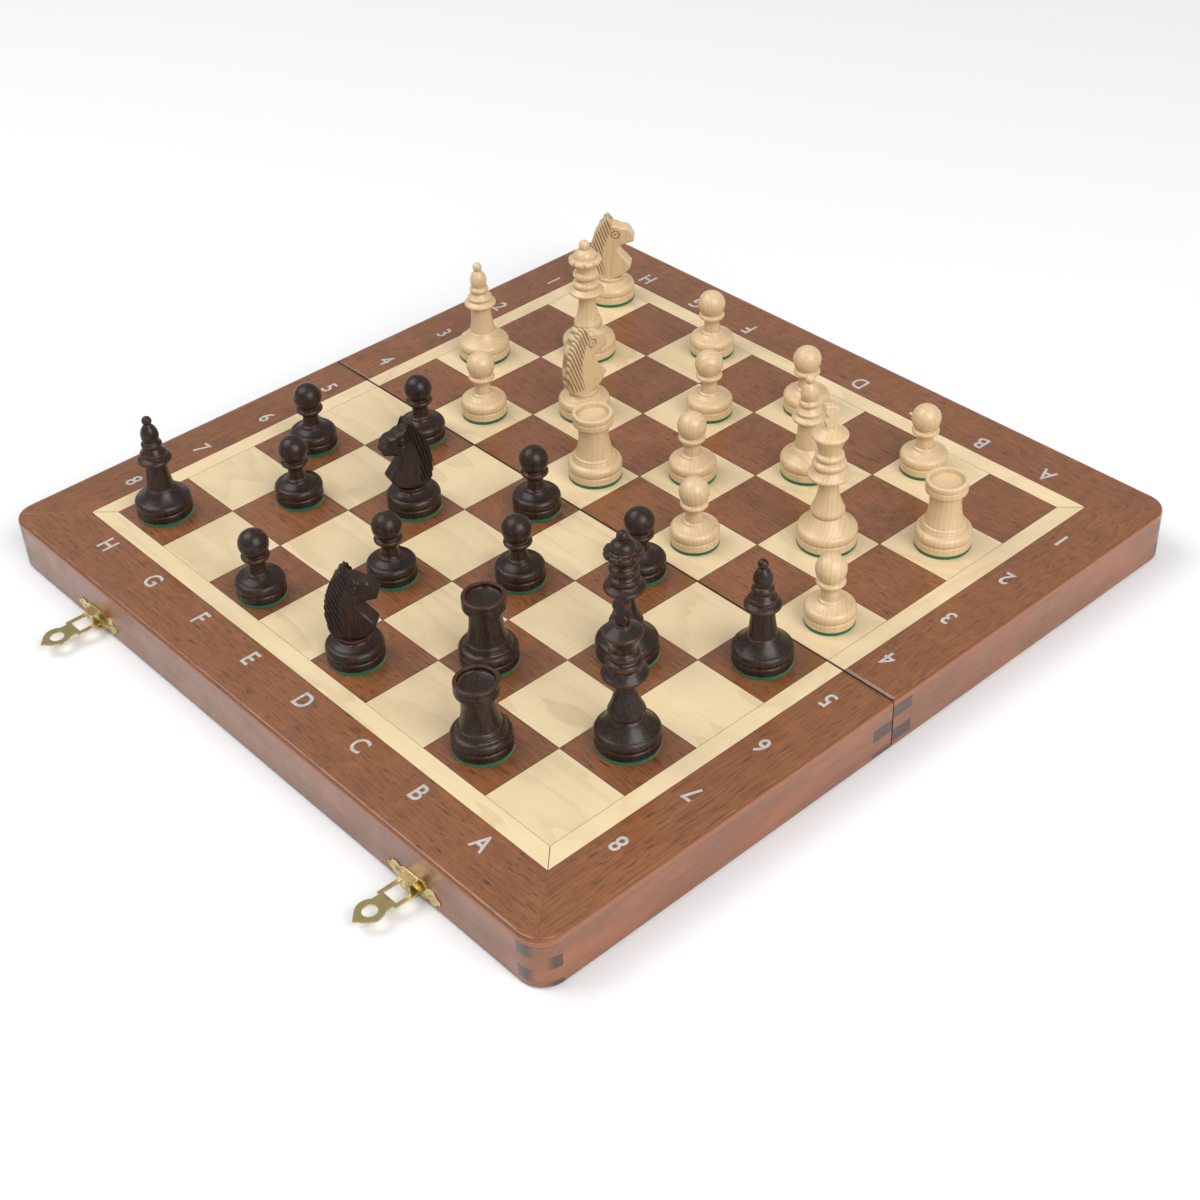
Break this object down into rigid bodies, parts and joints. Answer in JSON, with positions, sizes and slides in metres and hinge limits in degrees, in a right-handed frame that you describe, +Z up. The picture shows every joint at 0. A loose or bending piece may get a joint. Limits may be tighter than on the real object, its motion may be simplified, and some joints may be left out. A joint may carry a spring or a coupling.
{
  "type": "folding chess set",
  "caption": "Folding wooden chess board on box halves with brass hooks, standing open with turned light and dark wooden chessmen in mid-game.",
  "frame": {"origin": "on the plane of the rims that the board stands on, in the middle of the fold between its two halves", "axes": "+X along the fold towards file A, +Y across the fold towards rank 1 and the white half, +Z up; the two hooks are on the -Y end face"},
  "size_m": [0.494, 0.5379, 0.1281],
  "materials": {
    "light_man": "satin",
    "dark_man": "satin",
    "maple_veneer": "satin",
    "mahogany_veneer": "satin",
    "plywood": "satin",
    "stained_rail": "satin",
    "brass": "satin",
    "green_felt": "matte",
    "silver_print": "matte"
  },
  "bodies": {
    "black_half": {"black_half_end_rail": "stained_rail", "black_half_fold_rail": "stained_rail", "black_half_left_rail": "stained_rail", "black_half_right_rail": "stained_rail", "black_half_panel": "plywood", "black_half_light_veneer": "maple_veneer", "black_half_dark_squares": "mahogany_veneer", "black_half_border_veneer": "mahogany_veneer", "black_half_hinge_screws": "brass", "black_half_hinge_leaves": "brass", "hinge_pins": "brass", "latch_plates": "brass", "latch_nails": "brass"},
    "white_half": {"white_half_end_rail": "stained_rail", "white_half_fold_rail": "stained_rail", "white_half_left_rail": "stained_rail", "white_half_right_rail": "stained_rail", "white_half_panel": "plywood", "white_half_light_veneer": "maple_veneer", "white_half_dark_squares": "mahogany_veneer", "white_half_border_veneer": "mahogany_veneer", "white_half_hinge_screws": "brass", "white_half_hinge_leaves": "brass", "catch_plates": "brass", "catch_nails": "brass"},
    "latch_hook_left": {"latch_hook_left": "brass"},
    "latch_hook_right": {"latch_hook_right": "brass"},
    "white_rook_1": {"white_rook_1": "light_man"},
    "white_pawn_1": {"white_pawn_1": "light_man"},
    "white_pawn_2": {"white_pawn_2": "light_man"},
    "white_king": {"white_king": "light_man"},
    "white_bishop_1": {"white_bishop_1": "light_man"},
    "white_pawn_3": {"white_pawn_3": "light_man"},
    "white_pawn_4": {"white_pawn_4": "light_man"},
    "white_pawn_5": {"white_pawn_5": "light_man"},
    "white_pawn_6": {"white_pawn_6": "light_man"},
    "white_rook_2": {"white_rook_2": "light_man"},
    "white_pawn_7": {"white_pawn_7": "light_man"},
    "white_knight_1": {"white_knight_1": "light_man"},
    "white_queen": {"white_queen": "light_man"},
    "white_pawn_8": {"white_pawn_8": "light_man"},
    "white_knight_2": {"white_knight_2": "light_man"},
    "white_bishop_2": {"white_bishop_2": "light_man"},
    "black_bishop_1": {"black_bishop_1": "dark_man"},
    "black_king": {"black_king": "dark_man"},
    "black_queen": {"black_queen": "dark_man"},
    "black_rook_1": {"black_rook_1": "dark_man"},
    "black_pawn_1": {"black_pawn_1": "dark_man"},
    "black_rook_2": {"black_rook_2": "dark_man"},
    "black_pawn_2": {"black_pawn_2": "dark_man"},
    "black_knight_1": {"black_knight_1": "dark_man"},
    "black_pawn_3": {"black_pawn_3": "dark_man"},
    "black_pawn_4": {"black_pawn_4": "dark_man"},
    "black_knight_2": {"black_knight_2": "dark_man"},
    "black_pawn_5": {"black_pawn_5": "dark_man"},
    "black_pawn_6": {"black_pawn_6": "dark_man"},
    "black_pawn_7": {"black_pawn_7": "dark_man"},
    "black_pawn_8": {"black_pawn_8": "dark_man"},
    "black_bishop_2": {"black_bishop_2": "dark_man"}
  },
  "joints": [
    {"name": "board_fold", "type": "hinge", "parent": "black_half", "child": "white_half", "pos_m": [0, 0, -0.00015], "axis": [-1, 0, 0], "range_deg": [0, 180]},
    {"name": "latch_swing_left", "type": "hinge", "parent": "black_half", "child": "latch_hook_left", "pos_m": [-0.151, -0.2507, 0.0064], "axis": [1, 0, 0], "range_deg": [-75, 90]},
    {"name": "latch_swing_right", "type": "hinge", "parent": "black_half", "child": "latch_hook_right", "pos_m": [0.151, -0.2507, 0.0064], "axis": [1, 0, 0], "range_deg": [-75, 90]},
    {"name": "white_rook_1_lift", "type": "slide", "parent": "white_half", "child": "white_rook_1", "axis": [0, 0, 1], "range_m": [0, 0.1]},
    {"name": "white_pawn_1_lift", "type": "slide", "parent": "white_half", "child": "white_pawn_1", "axis": [0, 0, 1], "range_m": [0, 0.1]},
    {"name": "white_pawn_2_lift", "type": "slide", "parent": "white_half", "child": "white_pawn_2", "axis": [0, 0, 1], "range_m": [0, 0.1]},
    {"name": "white_king_lift", "type": "slide", "parent": "white_half", "child": "white_king", "axis": [0, 0, 1], "range_m": [0, 0.1]},
    {"name": "white_bishop_1_lift", "type": "slide", "parent": "white_half", "child": "white_bishop_1", "axis": [0, 0, 1], "range_m": [0, 0.1]},
    {"name": "white_pawn_3_lift", "type": "slide", "parent": "white_half", "child": "white_pawn_3", "axis": [0, 0, 1], "range_m": [0, 0.1]},
    {"name": "white_pawn_4_lift", "type": "slide", "parent": "white_half", "child": "white_pawn_4", "axis": [0, 0, 1], "range_m": [0, 0.1]},
    {"name": "white_pawn_5_lift", "type": "slide", "parent": "white_half", "child": "white_pawn_5", "axis": [0, 0, 1], "range_m": [0, 0.1]},
    {"name": "white_pawn_6_lift", "type": "slide", "parent": "white_half", "child": "white_pawn_6", "axis": [0, 0, 1], "range_m": [0, 0.1]},
    {"name": "white_rook_2_lift", "type": "slide", "parent": "white_half", "child": "white_rook_2", "axis": [0, 0, 1], "range_m": [0, 0.1]},
    {"name": "white_pawn_7_lift", "type": "slide", "parent": "white_half", "child": "white_pawn_7", "axis": [0, 0, 1], "range_m": [0, 0.1]},
    {"name": "white_knight_1_lift", "type": "slide", "parent": "white_half", "child": "white_knight_1", "axis": [0, 0, 1], "range_m": [0, 0.1]},
    {"name": "white_queen_lift", "type": "slide", "parent": "white_half", "child": "white_queen", "axis": [0, 0, 1], "range_m": [0, 0.1]},
    {"name": "white_pawn_8_lift", "type": "slide", "parent": "white_half", "child": "white_pawn_8", "axis": [0, 0, 1], "range_m": [0, 0.1]},
    {"name": "white_knight_2_lift", "type": "slide", "parent": "white_half", "child": "white_knight_2", "axis": [0, 0, 1], "range_m": [0, 0.1]},
    {"name": "white_bishop_2_lift", "type": "slide", "parent": "white_half", "child": "white_bishop_2", "axis": [0, 0, 1], "range_m": [0, 0.1]},
    {"name": "black_bishop_1_lift", "type": "slide", "parent": "black_half", "child": "black_bishop_1", "axis": [0, 0, 1], "range_m": [0, 0.1]},
    {"name": "black_king_lift", "type": "slide", "parent": "black_half", "child": "black_king", "axis": [0, 0, 1], "range_m": [0, 0.1]},
    {"name": "black_queen_lift", "type": "slide", "parent": "black_half", "child": "black_queen", "axis": [0, 0, 1], "range_m": [0, 0.1]},
    {"name": "black_rook_1_lift", "type": "slide", "parent": "black_half", "child": "black_rook_1", "axis": [0, 0, 1], "range_m": [0, 0.1]},
    {"name": "black_pawn_1_lift", "type": "slide", "parent": "black_half", "child": "black_pawn_1", "axis": [0, 0, 1], "range_m": [0, 0.1]},
    {"name": "black_rook_2_lift", "type": "slide", "parent": "black_half", "child": "black_rook_2", "axis": [0, 0, 1], "range_m": [0, 0.1]},
    {"name": "black_pawn_2_lift", "type": "slide", "parent": "black_half", "child": "black_pawn_2", "axis": [0, 0, 1], "range_m": [0, 0.1]},
    {"name": "black_knight_1_lift", "type": "slide", "parent": "black_half", "child": "black_knight_1", "axis": [0, 0, 1], "range_m": [0, 0.1]},
    {"name": "black_pawn_3_lift", "type": "slide", "parent": "black_half", "child": "black_pawn_3", "axis": [0, 0, 1], "range_m": [0, 0.1]},
    {"name": "black_pawn_4_lift", "type": "slide", "parent": "black_half", "child": "black_pawn_4", "axis": [0, 0, 1], "range_m": [0, 0.1]},
    {"name": "black_knight_2_lift", "type": "slide", "parent": "black_half", "child": "black_knight_2", "axis": [0, 0, 1], "range_m": [0, 0.1]},
    {"name": "black_pawn_5_lift", "type": "slide", "parent": "black_half", "child": "black_pawn_5", "axis": [0, 0, 1], "range_m": [0, 0.1]},
    {"name": "black_pawn_6_lift", "type": "slide", "parent": "black_half", "child": "black_pawn_6", "axis": [0, 0, 1], "range_m": [0, 0.1]},
    {"name": "black_pawn_7_lift", "type": "slide", "parent": "black_half", "child": "black_pawn_7", "axis": [0, 0, 1], "range_m": [0, 0.1]},
    {"name": "black_pawn_8_lift", "type": "slide", "parent": "black_half", "child": "black_pawn_8", "axis": [0, 0, 1], "range_m": [0, 0.1]},
    {"name": "black_bishop_2_lift", "type": "slide", "parent": "black_half", "child": "black_bishop_2", "axis": [0, 0, 1], "range_m": [0, 0.1]}
  ]
}
